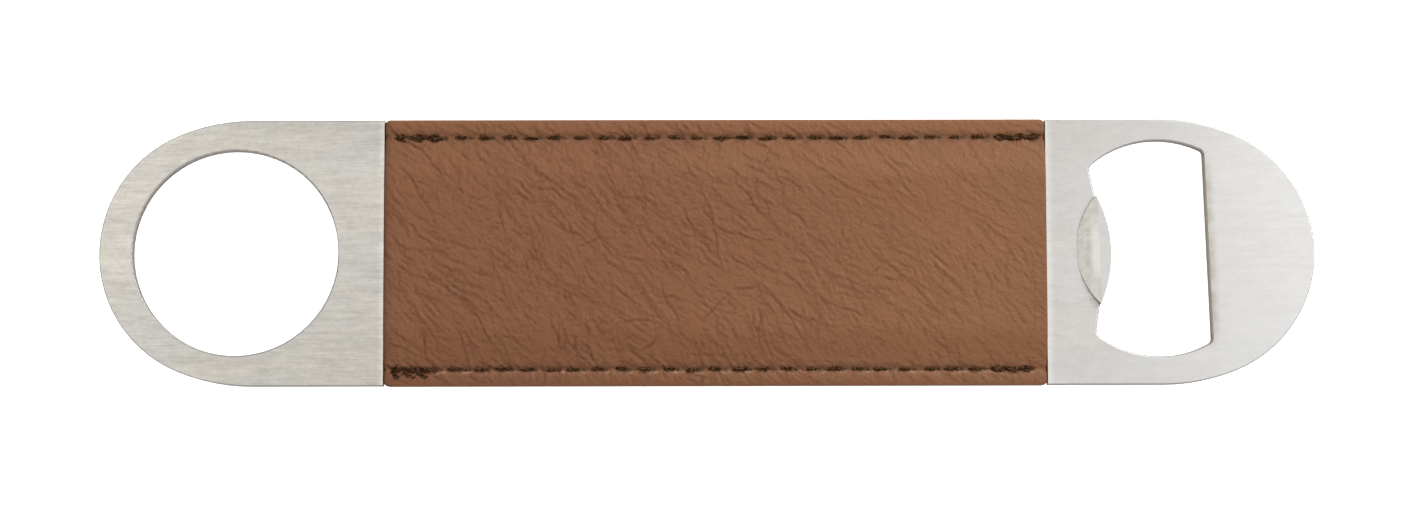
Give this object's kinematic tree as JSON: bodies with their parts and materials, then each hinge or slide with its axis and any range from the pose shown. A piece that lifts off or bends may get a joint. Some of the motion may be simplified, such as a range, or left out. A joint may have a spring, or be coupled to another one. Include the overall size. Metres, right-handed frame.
{
  "type": "bottle opener",
  "caption": "Flat stainless bar-blade bottle opener with a round finger hole, a cap slot with a raised tooth, and a sewn leatherette grip sleeve.",
  "frame": {"origin": "centre of the footprint, on the back face of the sleeve that the opener rests on", "axes": "+X along the blade from the finger hole towards the cap slot, +Y across the blade, +Z out of the front face, the side that the tooth stands up from"},
  "size_m": [0.1778, 0.039, 0.0041],
  "materials": {
    "steel": "brushed along the blade, tumbled edges",
    "leatherette": "matt embossed grain, warm mid brown",
    "backing": "dark woven core, seen only at the cut edges",
    "adhesive": "translucent tape, hidden",
    "thread": "twisted polyester, very dark brown"
  },
  "bodies": {
    "root": {"blade": "steel", "front_panel_skin": "leatherette", "front_panel_backing": "backing", "back_panel_skin": "leatherette", "back_panel_backing": "backing", "front_adhesive_film": "adhesive", "back_adhesive_film": "adhesive", "upper_needle_thread": "thread", "upper_bobbin_thread": "thread", "lower_needle_thread": "thread", "lower_bobbin_thread": "thread"}
  },
  "joints": []
}
